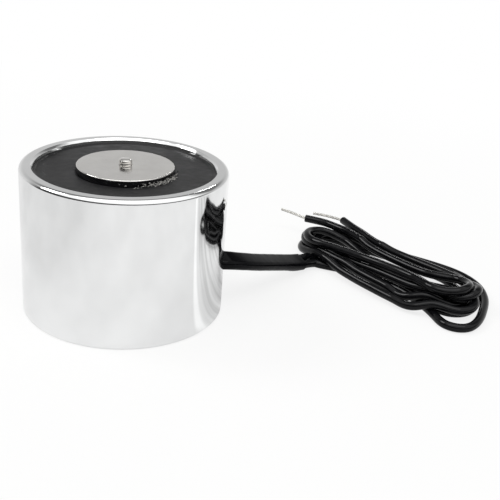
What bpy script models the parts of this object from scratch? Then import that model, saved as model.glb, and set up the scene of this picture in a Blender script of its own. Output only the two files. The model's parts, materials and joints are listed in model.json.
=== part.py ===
"""Round holding electromagnet, 30 mm across and 22 mm tall, with a potted coil and two free leads.

Frame: origin at the centre of the cup's base, +Z towards the holding face. Lengths are in metres.
"""

import bmesh
import bpy
import math
from mathutils import Matrix, Vector

MM = 0.001

# Cup, turned from soft iron and plated
CUP_RADIUS = 15.0 * MM
CUP_HEIGHT = 22.0 * MM
CUP_WALL = 1.95 * MM
CUP_FLOOR = 4.0 * MM
RIM_FILLET = 0.4 * MM
RIM_INNER_CHAMFER = 0.2 * MM
BASE_CHAMFER = 0.3 * MM
BORE_CORNER_RADIUS = 0.35 * MM

# Ring-shaped space for the coil, between the pole and the cup's bore
COIL_SPACE = 6.0 * MM

# Pole core, pressed into the cup's floor by its spigot
POLE_CHAMFER = 0.12 * MM
SPIGOT_SHOULDER = 2.05 * MM
SPIGOT_CHAMFER = 0.2 * MM
SPIGOT_FIT = 0.03 * MM
MOUNTING_HOLE_RADIUS = 1.65 * MM
MOUNTING_HOLE_DEPTH = 8.0 * MM
MOUNTING_HOLE_CHAMFER = 0.4 * MM
DRILL_TIP = 0.6

# Centre pin, fixed in the pole face
PIN_RADIUS = 0.95 * MM
PIN_HEIGHT = 0.9 * MM
PIN_SEAT_DEPTH = 3.5 * MM
PIN_CHAMFER = 0.15 * MM
PIN_GROOVE = 0.12 * MM
PIN_FIT = 0.03 * MM

# Bobbin and coil
BOBBIN_WALL = 0.8 * MM
BOBBIN_BORE_CLEARANCE = 0.15 * MM
FLANGE_THICKNESS = 0.8 * MM
FLANGE_EDGE_GAP = 0.45 * MM
SEAT_GAP = 0.05 * MM
COIL_GAP = 0.05 * MM
TAPE_THICKNESS = 0.2 * MM
MAGNET_WIRE_RADIUS = 0.11 * MM
WIRE_SLOT_WIDTH = 0.6 * MM
WIRE_SLOT_DEPTH = 0.4 * MM
WIRE_SLOT_CLEARANCE = 0.07 * MM
WIRE_BEND = 0.3 * MM

# Potting resin
RESIN_RECESS = 0.9 * MM
RESIN_CAP = 1.2 * MM
RESIN_GAP = 0.05 * MM
RESIN_FILM = 0.25 * MM
RESIN_PLUG_RECESS = 0.25 * MM
MENISCUS_RISE = 0.2 * MM
MENISCUS_WIDTH = 0.45 * MM
POCKET_HEADROOM = 0.3 * MM

# Leads, their sleeve and the hole in the cup's wall that they leave by
LEAD_RADIUS = 0.7 * MM
LEAD_PAIR_GAP = 0.04 * MM
SLEEVE_CLEARANCE = 0.04 * MM
SLEEVE_WALL = 0.15 * MM
SLEEVE_TILT = math.radians(25.0)
SLEEVE_INNER_REACH = 2.2 * MM
HOLE_AZIMUTH = math.radians(6.0)
HOLE_HEIGHT = 7.4 * MM
HOLE_MARGIN = 0.44 * MM
HOLE_FIT = 0.05 * MM
CONDUCTOR_RADIUS = 0.24 * MM
END_GAP = 0.05 * MM

# Soldered joints between the leads and the coil's ends, with lengths along the ring that they lie on
BEND_REACH = 2.0 * MM
JOINT_REACH = 7.7 * MM
LANDING_REACH = 3.4 * MM
LANDING_STEP = 0.6 * MM
SLOT_REACH = 3.8 * MM
POCKET_MARGIN = 0.45 * MM
JOINT_LENGTH = 4.4 * MM
JOINT_WALL = 0.15 * MM
JOINT_CLEARANCE = 0.1 * MM
JOINT_RISE = 1.2 * MM
JOINT_DROP = 0.5 * MM
JOINT_LEAD_OVERLAP = 1.3 * MM
SOLDER_RADIUS = 0.45 * MM
SOLDER_END_RADIUS = 0.2 * MM
SOLDER_LENGTH = 2.4 * MM
SOLDER_TAPER = 0.6 * MM
WIRE_STRAIGHT = 1.5 * MM

# Hank of the two leads, lying on the surface that the cup stands on
HANK_CENTRE = (43.65 * MM, 16.85 * MM)
HANK_LENGTH = 40.0 * MM
HANK_WIDTH = 15.0 * MM
HANK_HEIGHT = 2.4 * MM
HANK_AZIMUTH = math.radians(-47.0)

# Hand-chosen points of the free stretches, in millimetres
SLEEVE_ROUTE = [(17.4, 3.2, 6.7), (20.0, 6.2, 5.4), (23.3, 10.7, 3.6), (26.1, 14.3, 2.2), (27.6, 16.0, 1.65)]
LEAD_A_ROUTE = [(28.3, 17.75, 1.7), (29.85, 19.25, 1.4)]
LEAD_B_ROUTE = [(29.6, 16.95, 1.1), (31.35, 17.55, 0.9)]
LEAD_A_END_ROUTE = [(29.1, 32.8, 3.2), (30.9, 32.1, 3.2), (32.7, 31.2, 3.2), (34.7, 29.5, 3.2), (36.9, 27.0, 3.3),
                    (38.8, 24.1, 3.3)]
LEAD_B_END_ROUTE = [(36.2, 33.2, 3.2), (37.7, 30.1, 3.2), (39.3, 27.3, 3.2), (40.7, 24.5, 3.2), (42.3, 22.1, 3.3)]
CONDUCTOR_A_ROUTE = [(29.1, 32.8, 3.2), (26.7, 34.2, 3.5), (24.5, 34.9, 3.9)]
CONDUCTOR_B_ROUTE = [(36.2, 33.2, 3.2), (33.2, 34.4, 3.4), (30.6, 35.0, 3.5)]

# Facets, and the distance between the points of a route
CUP_STEPS = 72
CORE_STEPS = 48
DRILL_STEPS = 32
PIN_STEPS = 20
JOINT_STEPS = 16
FILLET_STEPS = 4
PROFILE_STEPS = 8
POCKET_STEPS = 24
SHARP_EDGE = math.radians(30.0)
SLEEVE_SPACING = 1.1 * MM
INNER_LEAD_SPACING = 0.5 * MM
FREE_LEAD_SPACING = 0.9 * MM
LEAD_END_SPACING = 1.5 * MM
MAGNET_WIRE_SPACING = 0.6 * MM
CUTTER_REACH = 2
MERGE_DISTANCE = 0.0001 * MM
WELD_DISTANCE = 0.001 * MM

# Sizes that follow from the ones above
bore_radius = CUP_RADIUS - CUP_WALL
pole_radius = bore_radius - COIL_SPACE
spigot_radius = pole_radius - SPIGOT_SHOULDER
resin_top = CUP_HEIGHT - RESIN_RECESS
bobbin_bottom = CUP_FLOOR + SEAT_GAP
lower_flange_top = bobbin_bottom + FLANGE_THICKNESS
bobbin_top = resin_top - RESIN_CAP - RESIN_GAP
upper_flange_bottom = bobbin_top - FLANGE_THICKNESS
bobbin_bore = pole_radius + BOBBIN_BORE_CLEARANCE
bobbin_tube = bobbin_bore + BOBBIN_WALL
flange_radius = bore_radius - FLANGE_EDGE_GAP
pocket_radius = bore_radius - RESIN_GAP - RESIN_FILM
joint_bore = LEAD_RADIUS + SLEEVE_CLEARANCE
joint_radius = joint_bore + JOINT_WALL
joint_ring = math.sqrt((pocket_radius - JOINT_CLEARANCE - joint_radius) ** 2 - (JOINT_LENGTH / 2) ** 2)
tape_radius = joint_ring - joint_radius - JOINT_CLEARANCE
winding_radius = tape_radius - TAPE_THICKNESS - COIL_GAP
bend_angle = BEND_REACH / joint_ring
joint_angle = JOINT_REACH / joint_ring
slot_angle = (JOINT_REACH + SLOT_REACH) / joint_ring
landing_angles = [(JOINT_REACH + LANDING_REACH + LANDING_STEP * step) / joint_ring for step in range(3)]
pocket_angle = max(slot_angle, landing_angles[-1]) + POCKET_MARGIN / pocket_radius
lead_offset = LEAD_RADIUS + LEAD_PAIR_GAP / 2
sleeve_half_width = lead_offset + LEAD_RADIUS + SLEEVE_CLEARANCE + SLEEVE_WALL
hole_radius = sleeve_half_width + HOLE_MARGIN
sleeve_inner_end = CUP_RADIUS - SLEEVE_INNER_REACH
plug_length = CUP_RADIUS - RESIN_PLUG_RECESS - (pocket_radius + RESIN_FILM / 2)
joint_a_height = HOLE_HEIGHT + JOINT_RISE + lead_offset * math.sin(SLEEVE_TILT)
joint_b_height = HOLE_HEIGHT - JOINT_DROP - lead_offset * math.sin(SLEEVE_TILT)
pocket_top = joint_a_height + joint_radius + POCKET_HEADROOM
slot_floor = lower_flange_top - WIRE_SLOT_DEPTH

STEEL_CHROME = ("chrome_plate", (0.80, 0.81, 0.82), 0.06, 1.0)
STEEL_GROUND = ("nickel_plate", (0.66, 0.64, 0.61), 0.18, 1.0)
RESIN_BLACK = ("potting_resin", (0.025, 0.025, 0.027), 0.45, 0.0)
PVC_BLACK = ("black_pvc", (0.012, 0.012, 0.013), 0.22, 0.0)
NYLON = ("bobbin_nylon", (0.75, 0.73, 0.66), 0.5, 0.0)
COPPER = ("enamelled_copper", (0.55, 0.22, 0.09), 0.3, 1.0)
TAPE_YELLOW = ("polyester_tape", (0.80, 0.62, 0.10), 0.35, 0.0)
SOLDER = ("tinned_solder", (0.72, 0.72, 0.70), 0.28, 1.0)


def clear_scene():
    for found in list(bpy.data.objects):
        bpy.data.objects.remove(found, do_unlink=True)


def make_collection(name):
    collection = bpy.data.collections.new(name)
    bpy.context.scene.collection.children.link(collection)
    return collection


def make_material(look):
    """One Principled material for each look, made once and shared."""
    name, colour, roughness, metallic = look
    found = bpy.data.materials.get(name)
    if found:
        return found
    material = bpy.data.materials.new(name)
    material.use_nodes = True
    shader = material.node_tree.nodes["Principled BSDF"]
    shader.inputs["Base Color"].default_value = (*colour, 1.0)
    shader.inputs["Roughness"].default_value = roughness
    shader.inputs["Metallic"].default_value = metallic
    material.diffuse_color = (*colour, 1.0)
    return material


def add_part(name, data, look):
    part = bpy.data.objects.new(name, data)
    part.data.materials.append(make_material(look))
    parts.objects.link(part)
    return part


def add_guide(name, data):
    """A cutter or a profile, which is no part of the model."""
    guide = bpy.data.objects.new(name, data)
    guide.hide_render = True
    guide.display_type = "WIRE"
    cutters.objects.link(guide)
    return guide


def profile_mesh(name, profile, closed):
    """A chain of edges in the XZ plane, through points of radius and height."""
    shape = bmesh.new()
    corners = [shape.verts.new((radius, 0.0, height)) for radius, height in profile]
    for start, end in zip(corners, corners[1:]):
        shape.edges.new((start, end))
    if closed:
        shape.edges.new((corners[-1], corners[0]))
    mesh = bpy.data.meshes.new(name)
    shape.to_mesh(mesh)
    shape.free()
    return mesh


def turn(part, steps):
    """The profile turned once around Z."""
    screw = part.modifiers.new("turn", "SCREW")
    screw.axis = "Z"
    screw.angle = 2 * math.pi
    screw.screw_offset = 0.0
    screw.steps = steps
    screw.render_steps = steps
    screw.use_merge_vertices = True
    screw.merge_threshold = MERGE_DISTANCE
    screw.use_smooth_shade = False
    return part


def turned(name, profile, steps, look, closed=True):
    return turn(add_part(name, profile_mesh(name, profile, closed), look), steps)


def round_corner(centre, radius, start_degrees, end_degrees):
    """Points of an arc in the profile plane, both ends included."""
    points = []
    for step in range(FILLET_STEPS + 1):
        angle = math.radians(start_degrees + (end_degrees - start_degrees) * step / FILLET_STEPS)
        points.append((centre[0] + radius * math.cos(angle), centre[1] + radius * math.sin(angle)))
    return points


def poly_curve(name, points, closed=False, flat=False):
    curve = bpy.data.curves.new(name, "CURVE")
    curve.dimensions = "2D" if flat else "3D"
    spline = curve.splines.new("POLY")
    spline.points.add(len(points) - 1)
    for place, point in zip(spline.points, points):
        place.co = (*point, 1.0)
    spline.use_cyclic_u = closed
    return curve


def tube(name, points, radius, look):
    curve = poly_curve(name, points)
    curve.bevel_depth = radius
    curve.bevel_resolution = 2
    curve.use_fill_caps = True
    return add_part(name, curve, look)


def outline_plate(name, points, thickness):
    """A flat outline in XY, thickened to both sides of its plane."""
    curve = poly_curve(name, [(x, y, 0.0) for x, y in points], closed=True, flat=True)
    curve.fill_mode = "BOTH"
    curve.extrude = thickness / 2
    return curve


def as_mesh(source):
    """The evaluated curve as a mesh object with its caps welded, in the curve's place."""
    bpy.context.view_layer.update()
    evaluated = source.evaluated_get(bpy.context.evaluated_depsgraph_get())
    mesh = bpy.data.meshes.new_from_object(evaluated)
    shape = bmesh.new()
    shape.from_mesh(mesh)
    bmesh.ops.remove_doubles(shape, verts=shape.verts, dist=WELD_DISTANCE)
    shape.to_mesh(mesh)
    shape.free()
    name = source.name
    owner = source.users_collection[0]
    solid = bpy.data.objects.new(name, mesh)
    solid.matrix_world = source.matrix_world.copy()
    solid.hide_render = source.hide_render
    solid.display_type = source.display_type
    bpy.data.objects.remove(source, do_unlink=True)
    owner.objects.link(solid)
    solid.name = name
    return solid


def cut(part, cutter, operation="DIFFERENCE"):
    boolean = part.modifiers.new(cutter.name, "BOOLEAN")
    boolean.operation = operation
    boolean.solver = "EXACT"
    boolean.object = cutter


def stadium(half_long, radius):
    """A slot-shaped outline: two half circles around points half_long to either side."""
    points = []
    for side, first in ((1, -90.0), (-1, 90.0)):
        for step in range(PROFILE_STEPS + 1):
            angle = math.radians(first + 180.0 * step / PROFILE_STEPS)
            points.append((side * half_long + radius * math.cos(angle), radius * math.sin(angle)))
    return points


def smooth_route(points, spacing):
    """A smooth curve through the points (Catmull-Rom), sampled about every spacing."""
    points = [Vector(point) for point in points]
    ends = [2 * points[0] - points[1]] + points + [2 * points[-1] - points[-2]]
    route = [points[0]]
    for before, start, end, after in zip(ends, ends[1:], ends[2:], ends[3:]):
        pieces = max(1, round((end - start).length / spacing))
        for step in range(1, pieces + 1):
            t = step / pieces
            route.append(0.5 * (2 * start + (end - before) * t
                                + (2 * before - 5 * start + 4 * end - after) * t ** 2
                                + (3 * start - before - 3 * end + after) * t ** 3))
    return route


def in_metres(route):
    return [Vector(point) * MM for point in route]


def ring_point(angle, radius, height):
    """A point at an angle from the lead hole, around the cup's axis."""
    return Vector((radius * math.cos(HOLE_AZIMUTH + angle), radius * math.sin(HOLE_AZIMUTH + angle), height))


def ring_direction(angle):
    """The direction along the ring at that angle, towards growing angles."""
    return Vector((-math.sin(HOLE_AZIMUTH + angle), math.cos(HOLE_AZIMUTH + angle), 0.0))


def pair_direction(tangent):
    """From the middle of the pair of leads to lead a, square to the way they run."""
    left = Vector((0.0, 0.0, 1.0)).cross(tangent).normalized()
    up = tangent.normalized().cross(left)
    return math.cos(SLEEVE_TILT) * left + math.sin(SLEEVE_TILT) * up


def make_cup():
    top = CUP_HEIGHT
    profile = [(bore_radius + RIM_INNER_CHAMFER, top)]
    profile += round_corner((CUP_RADIUS - RIM_FILLET, top - RIM_FILLET), RIM_FILLET, 90, 0)
    profile += [(CUP_RADIUS, BASE_CHAMFER), (CUP_RADIUS - BASE_CHAMFER, 0.0)]
    profile += [(spigot_radius + SPIGOT_FIT, 0.0), (spigot_radius + SPIGOT_FIT, CUP_FLOOR)]
    corner = (bore_radius - BORE_CORNER_RADIUS, CUP_FLOOR + BORE_CORNER_RADIUS)
    profile += round_corner(corner, BORE_CORNER_RADIUS, -90, 0)
    profile += [(bore_radius, top - RIM_INNER_CHAMFER)]
    cup = turned("cup", profile, CUP_STEPS, STEEL_CHROME)
    drill = drill_cutter("lead_hole_drill", hole_radius, CUP_WALL * CUTTER_REACH)
    drill.matrix_world = hole_matrix(CUP_RADIUS - CUP_WALL / 2)
    cut(cup, drill)
    return cup


def drill_cutter(name, radius, depth):
    bpy.ops.mesh.primitive_cylinder_add(vertices=DRILL_STEPS, radius=radius, depth=depth)
    drill = bpy.context.object
    drill.name = name
    move_to_cutters(drill)
    return drill


def move_to_cutters(guide):
    for owner in list(guide.users_collection):
        owner.objects.unlink(guide)
    cutters.objects.link(guide)
    guide.hide_render = True
    guide.display_type = "WIRE"


def hole_matrix(reach):
    """A frame on the lead hole's axis: X towards lead a, Z outwards."""
    outwards = Vector((math.cos(HOLE_AZIMUTH), math.sin(HOLE_AZIMUTH), 0.0))
    across = pair_direction(outwards)
    matrix = Matrix((across, outwards.cross(across), outwards)).transposed().to_4x4()
    matrix.translation = outwards * reach + Vector((0.0, 0.0, HOLE_HEIGHT))
    return matrix


def make_core():
    top = CUP_HEIGHT
    seat = PIN_RADIUS + PIN_FIT
    seat_floor = top - PIN_SEAT_DEPTH
    hole = MOUNTING_HOLE_RADIUS
    profile = [(0.0, seat_floor), (seat, seat_floor), (seat, top)]
    profile += [(pole_radius - POLE_CHAMFER, top), (pole_radius, top - POLE_CHAMFER)]
    profile += [(pole_radius, CUP_FLOOR + SEAT_GAP), (spigot_radius, CUP_FLOOR + SEAT_GAP)]
    profile += [(spigot_radius, SPIGOT_CHAMFER), (spigot_radius - SPIGOT_CHAMFER, 0.0)]
    profile += [(hole + MOUNTING_HOLE_CHAMFER, 0.0), (hole, MOUNTING_HOLE_CHAMFER)]
    profile += [(hole, MOUNTING_HOLE_DEPTH), (0.0, MOUNTING_HOLE_DEPTH + hole * DRILL_TIP)]
    return turned("pole_core", profile, CORE_STEPS, STEEL_GROUND, closed=False)


def make_pin():
    """A short stub with a chamfered end and a relief groove where it leaves the face."""
    top = CUP_HEIGHT + PIN_HEIGHT
    bottom = CUP_HEIGHT - PIN_SEAT_DEPTH + SEAT_GAP
    profile = [(0.0, top), (PIN_RADIUS - PIN_CHAMFER, top), (PIN_RADIUS, top - PIN_CHAMFER)]
    profile += [(PIN_RADIUS, CUP_HEIGHT + PIN_GROOVE * 2), (PIN_RADIUS - PIN_GROOVE, CUP_HEIGHT + PIN_GROOVE)]
    profile += [(PIN_RADIUS - PIN_GROOVE, CUP_HEIGHT), (PIN_RADIUS, CUP_HEIGHT - PIN_GROOVE)]
    profile += [(PIN_RADIUS, bottom), (0.0, bottom)]
    return turned("centre_pin", profile, PIN_STEPS, STEEL_GROUND, closed=False)


def make_bobbin():
    """A flanged tube, with a slot in the lower flange for the coil's inner end."""
    profile = [(bobbin_bore, bobbin_top), (flange_radius, bobbin_top)]
    profile += [(flange_radius, upper_flange_bottom), (bobbin_tube, upper_flange_bottom)]
    profile += [(bobbin_tube, lower_flange_top), (flange_radius, lower_flange_top)]
    profile += [(flange_radius, bobbin_bottom), (bobbin_bore, bobbin_bottom)]
    bobbin = turned("bobbin", profile, CORE_STEPS, NYLON)
    length = flange_radius - bobbin_tube + FLANGE_EDGE_GAP
    bpy.ops.mesh.primitive_cube_add(size=1.0)
    slot = bpy.context.object
    slot.name = "wire_slot_cutter"
    middle = ring_point(-slot_angle, bobbin_tube + length / 2, slot_floor + WIRE_SLOT_DEPTH)
    turn_slot = Matrix.Rotation(HOLE_AZIMUTH - slot_angle, 4, "Z")
    scale_slot = Matrix.Diagonal((length, WIRE_SLOT_WIDTH, WIRE_SLOT_DEPTH * CUTTER_REACH, 1.0))
    slot.matrix_world = Matrix.Translation(middle) @ turn_slot @ scale_slot
    move_to_cutters(slot)
    cut(bobbin, slot)
    return bobbin


def make_winding():
    low = lower_flange_top + COIL_GAP
    high = upper_flange_bottom - COIL_GAP
    inner = bobbin_tube + COIL_GAP
    profile = [(inner, high), (winding_radius, high), (winding_radius, low), (inner, low)]
    turned("winding", profile, CORE_STEPS, COPPER)
    inner = winding_radius + COIL_GAP
    profile = [(inner, high), (tape_radius, high), (tape_radius, low), (inner, low)]
    turned("winding_tape", profile, CORE_STEPS, TAPE_YELLOW)


def make_resin():
    """The cap and the ring round the coil, with a pocket for the joints and a plug in the lead hole."""
    outer = bore_radius - RESIN_GAP
    beside_flange = flange_radius + RESIN_GAP
    beside_tape = tape_radius + RESIN_GAP
    bottom = CUP_FLOOR + BORE_CORNER_RADIUS
    profile = meniscus(pole_radius + RESIN_GAP, 1) + meniscus(outer, -1)[::-1] + [(outer, bottom)]
    profile += [(beside_flange, bottom), (beside_flange, lower_flange_top + RESIN_GAP)]
    profile += [(beside_tape, lower_flange_top + RESIN_GAP), (beside_tape, upper_flange_bottom - RESIN_GAP)]
    profile += [(beside_flange, upper_flange_bottom - RESIN_GAP), (beside_flange, bobbin_top + RESIN_GAP)]
    profile += [(pole_radius + RESIN_GAP, bobbin_top + RESIN_GAP)]
    resin = turned("potting_resin", profile, CUP_STEPS, RESIN_BLACK)

    plug = drill_cutter("lead_hole_plug", hole_radius - HOLE_FIT, plug_length)
    plug.matrix_world = hole_matrix(CUP_RADIUS - RESIN_PLUG_RECESS - plug_length / 2)
    cut(resin, plug, "UNION")

    pocket_low = lower_flange_top - RESIN_GAP
    sector = pocket_outline(pocket_radius, tape_radius - TAPE_THICKNESS)
    pocket = add_guide("joint_pocket", outline_plate("joint_pocket", sector, pocket_top - pocket_low))
    pocket.location.z = (pocket_top + pocket_low) / 2
    cut(resin, as_mesh(pocket))

    passage = stadium(lead_offset, LEAD_RADIUS + SLEEVE_CLEARANCE + SLEEVE_WALL + HOLE_FIT)
    opening = add_guide("sleeve_passage", outline_plate("sleeve_passage", passage, CUP_WALL * CUTTER_REACH))
    opening.matrix_world = hole_matrix(CUP_RADIUS - CUP_WALL / 2)
    cut(resin, as_mesh(opening))
    return resin


def meniscus(wall, side):
    """The resin's surface from a wall, where it climbs, out to where it is level."""
    points = []
    for step in range(FILLET_STEPS + 1):
        share = step / FILLET_STEPS
        points.append((wall + side * MENISCUS_WIDTH * share, resin_top + MENISCUS_RISE * (1 - share) ** 2))
    return points


def pocket_outline(outer, inner):
    """A stretch of a ring about the cup's axis, centred on the lead hole."""
    shares = [2 * step / POCKET_STEPS - 1 for step in range(POCKET_STEPS + 1)]
    angles = [HOLE_AZIMUTH + pocket_angle * share for share in shares]
    far = [(outer * math.cos(angle), outer * math.sin(angle)) for angle in angles]
    near = [(inner * math.cos(angle), inner * math.sin(angle)) for angle in reversed(angles)]
    return far + near


def sleeve_centre_line():
    inner = ring_point(0.0, sleeve_inner_end, HOLE_HEIGHT)
    middle = ring_point(0.0, CUP_RADIUS - SLEEVE_INNER_REACH / 2, HOLE_HEIGHT)
    mouth = ring_point(0.0, CUP_RADIUS + RIM_FILLET, HOLE_HEIGHT)
    return smooth_route([inner, middle, mouth] + in_metres(SLEEVE_ROUTE), SLEEVE_SPACING)


def tangents(route):
    found = []
    for index in range(len(route)):
        before = route[max(index - 1, 0)]
        after = route[min(index + 1, len(route) - 1)]
        found.append((after - before).normalized())
    return found


def make_sleeve(centre_line):
    outline = reversed(stadium(lead_offset, LEAD_RADIUS + SLEEVE_CLEARANCE + SLEEVE_WALL))
    outline = [(x, y, 0.0) for x, y in outline]
    section = add_guide("sleeve_section", poly_curve("sleeve_section", outline, closed=True, flat=True))
    curve = poly_curve("lead_sleeve", centre_line)
    curve.twist_mode = "Z_UP"
    curve.bevel_mode = "OBJECT"
    curve.bevel_object = section
    for place in curve.splines[0].points:
        place.tilt = SLEEVE_TILT
    sleeve = add_part("lead_sleeve", curve, PVC_BLACK)
    wall = sleeve.modifiers.new("wall", "SOLIDIFY")
    wall.thickness = SLEEVE_WALL
    wall.offset = -1.0
    return sleeve


def make_lead(name, side, centre_line, joint_height, free_route):
    """From the joint, round the coil, out through the sleeve and on to the hank."""
    angle = side * joint_angle
    along = -side * ring_direction(angle)
    middle = ring_point(angle, joint_ring, joint_height)
    start = middle + along * (JOINT_LENGTH / 2 - JOINT_LEAD_OVERLAP)
    mouth = middle + along * (JOINT_LENGTH / 2)
    clear = middle + along * (JOINT_LENGTH / 2 + LEAD_RADIUS)
    in_sleeve = [centre + side * lead_offset * pair_direction(way)
                 for centre, way in zip(centre_line, tangents(centre_line))]
    first = in_sleeve[0]
    height = first.z
    turn_out = ring_point(side * bend_angle, joint_ring, (height + joint_height) / 2)
    turn_in = ring_point(side * bend_angle / 2, (joint_ring + sleeve_inner_end) / 2, height)
    inner_route = [start, mouth, clear, turn_out, turn_in, in_sleeve[0], in_sleeve[1]]
    inside = smooth_route(inner_route, INNER_LEAD_SPACING)
    last_inside = min(range(len(inside)), key=lambda index: (inside[index] - first).length)
    outside = smooth_route([in_sleeve[-2], in_sleeve[-1]] + in_metres(free_route), FREE_LEAD_SPACING)
    first_outside = min(range(len(outside)), key=lambda index: (outside[index] - in_sleeve[-1]).length)
    points = inside[:last_inside] + in_sleeve + outside[first_outside + 1:]
    tube(name, points, LEAD_RADIUS, PVC_BLACK)
    return start, middle, along


def make_joint(letter, start, middle, along):
    """The soldered splice and the insulating sleeve over it."""
    half = JOINT_LENGTH / 2
    profile = [(joint_bore, half), (joint_radius, half), (joint_radius, -half), (joint_bore, -half)]
    cover = turned("joint_sleeve_" + letter, profile, JOINT_STEPS, PVC_BLACK)
    cover.matrix_world = axis_matrix(middle, along)
    half = SOLDER_LENGTH / 2
    full = half - SOLDER_TAPER
    profile = [(0.0, half), (SOLDER_END_RADIUS, half), (SOLDER_RADIUS, full)]
    profile += [(SOLDER_RADIUS, -full), (SOLDER_END_RADIUS, -half), (0.0, -half)]
    solder = turned("solder_joint_" + letter, profile, JOINT_STEPS, SOLDER, closed=False)
    centre = start - along * (END_GAP + half)
    solder.matrix_world = axis_matrix(centre, along)
    return centre - along * (half + END_GAP)


def axis_matrix(place, direction):
    matrix = direction.to_track_quat("Z", "Y").to_matrix().to_4x4()
    matrix.translation = place
    return matrix


def make_magnet_wires(end_a, along_a, end_b, along_b):
    """The coil's outer end to joint a, and its inner end, through the flange's slot, to joint b."""
    beside_tape = tape_radius + MAGNET_WIRE_RADIUS + JOINT_CLEARANCE / 2
    rise = joint_radius / 2
    points = [end_a, end_a - along_a * WIRE_STRAIGHT]
    points += [ring_point(landing_angles[0], (joint_ring + beside_tape) / 2, joint_a_height + rise / 2)]
    points += [ring_point(landing_angles[1], beside_tape, joint_a_height + rise)]
    points += [ring_point(landing_angles[2], beside_tape, joint_a_height + rise)]
    tube("magnet_wire_finish", smooth_route(points, MAGNET_WIRE_SPACING), MAGNET_WIRE_RADIUS, COPPER)

    in_slot = slot_floor + MAGNET_WIRE_RADIUS + WIRE_SLOT_CLEARANCE
    halfway = (joint_b_height + in_slot) / 2
    points = [end_b, end_b - along_b * WIRE_STRAIGHT, ring_point(-slot_angle, joint_ring, halfway)]
    points += [ring_point(-slot_angle, joint_ring - rise / 2, in_slot + WIRE_BEND)]
    points += [ring_point(-slot_angle, joint_ring - rise * 2, in_slot)]
    points += [ring_point(-slot_angle, bobbin_tube + WIRE_BEND, in_slot)]
    tube("magnet_wire_start", smooth_route(points, MAGNET_WIRE_SPACING), MAGNET_WIRE_RADIUS, COPPER)


def make_hank():
    """The outer shape of the hank: a slot-shaped outline, laid flat."""
    radius = HANK_WIDTH / 2
    outline = stadium(HANK_LENGTH / 2 - radius, radius)
    hank = add_part("lead_hank", outline_plate("lead_hank", outline, HANK_HEIGHT), PVC_BLACK)
    hank.location = (*HANK_CENTRE, HANK_HEIGHT / 2)
    hank.rotation_euler.z = HANK_AZIMUTH
    return hank


def make_lead_end(letter, end_route, conductor_route):
    """The free end of a lead, lying on the hank, and its bare tinned conductor."""
    end = in_metres(end_route)
    tube("lead_%s_end" % letter, smooth_route(end, LEAD_END_SPACING), LEAD_RADIUS, PVC_BLACK)
    bare = in_metres(conductor_route)
    way = (bare[1] - bare[0]).normalized()
    bare[0] = bare[0] + way * CONDUCTOR_RADIUS
    tube("conductor_" + letter, smooth_route(bare, LEAD_END_SPACING), CONDUCTOR_RADIUS, SOLDER)


def shade_round_parts():
    for part in parts.objects:
        if part.type == "MESH":
            part.data.shade_smooth()
            part.data.set_sharp_from_angle(angle=SHARP_EDGE)


clear_scene()
parts = make_collection("holding_electromagnet")
cutters = make_collection("cutters")

make_cup()
make_core()
make_pin()
make_bobbin()
make_winding()
make_resin()
line = sleeve_centre_line()
make_sleeve(line)
start_a, middle_a, along_a = make_lead("lead_a", 1, line, joint_a_height, LEAD_A_ROUTE)
start_b, middle_b, along_b = make_lead("lead_b", -1, line, joint_b_height, LEAD_B_ROUTE)
coil_end_a = make_joint("a", start_a, middle_a, along_a)
coil_end_b = make_joint("b", start_b, middle_b, along_b)
make_magnet_wires(coil_end_a, along_a, coil_end_b, along_b)
make_hank()
make_lead_end("a", LEAD_A_END_ROUTE, CONDUCTOR_A_ROUTE)
make_lead_end("b", LEAD_B_END_ROUTE, CONDUCTOR_B_ROUTE)
shade_round_parts()
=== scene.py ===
import json
import math

import bmesh
import bpy
import numpy as np
from mathutils import Matrix, Vector, noise


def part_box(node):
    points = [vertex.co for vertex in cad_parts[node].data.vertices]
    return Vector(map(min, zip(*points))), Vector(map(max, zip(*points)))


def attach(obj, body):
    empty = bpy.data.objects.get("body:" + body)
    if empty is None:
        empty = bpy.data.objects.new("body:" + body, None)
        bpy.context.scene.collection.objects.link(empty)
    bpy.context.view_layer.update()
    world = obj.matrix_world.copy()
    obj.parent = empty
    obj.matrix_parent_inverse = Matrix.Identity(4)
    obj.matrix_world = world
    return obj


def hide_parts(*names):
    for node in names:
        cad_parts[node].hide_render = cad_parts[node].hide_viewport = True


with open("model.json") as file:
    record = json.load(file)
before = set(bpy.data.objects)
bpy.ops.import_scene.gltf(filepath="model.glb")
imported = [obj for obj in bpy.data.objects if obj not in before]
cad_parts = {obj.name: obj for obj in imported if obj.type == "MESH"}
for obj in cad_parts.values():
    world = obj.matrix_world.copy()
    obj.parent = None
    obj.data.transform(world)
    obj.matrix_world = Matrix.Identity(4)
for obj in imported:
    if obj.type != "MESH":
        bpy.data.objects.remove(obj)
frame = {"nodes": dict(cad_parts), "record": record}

MM = 0.001
SHARP_ANGLE = math.radians(32.0)
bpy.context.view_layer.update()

# Places and sizes read from the frame
CUP_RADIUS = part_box("cup")[1].x
CUP_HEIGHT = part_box("cup")[1].z
POLE_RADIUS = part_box("pole_core")[1].x
PIN_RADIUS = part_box("centre_pin")[1].x
PIN_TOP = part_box("centre_pin")[1].z

# Camera, fitted to the outlines of the rim, pole and base in the photo
CAMERA_PLACE = Vector((17.7123, -117.8670, 61.3364)) * MM
CAMERA_TURN = (66.4431, -4.1829, 1.2801)
CAMERA_LENS = 61.80

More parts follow.
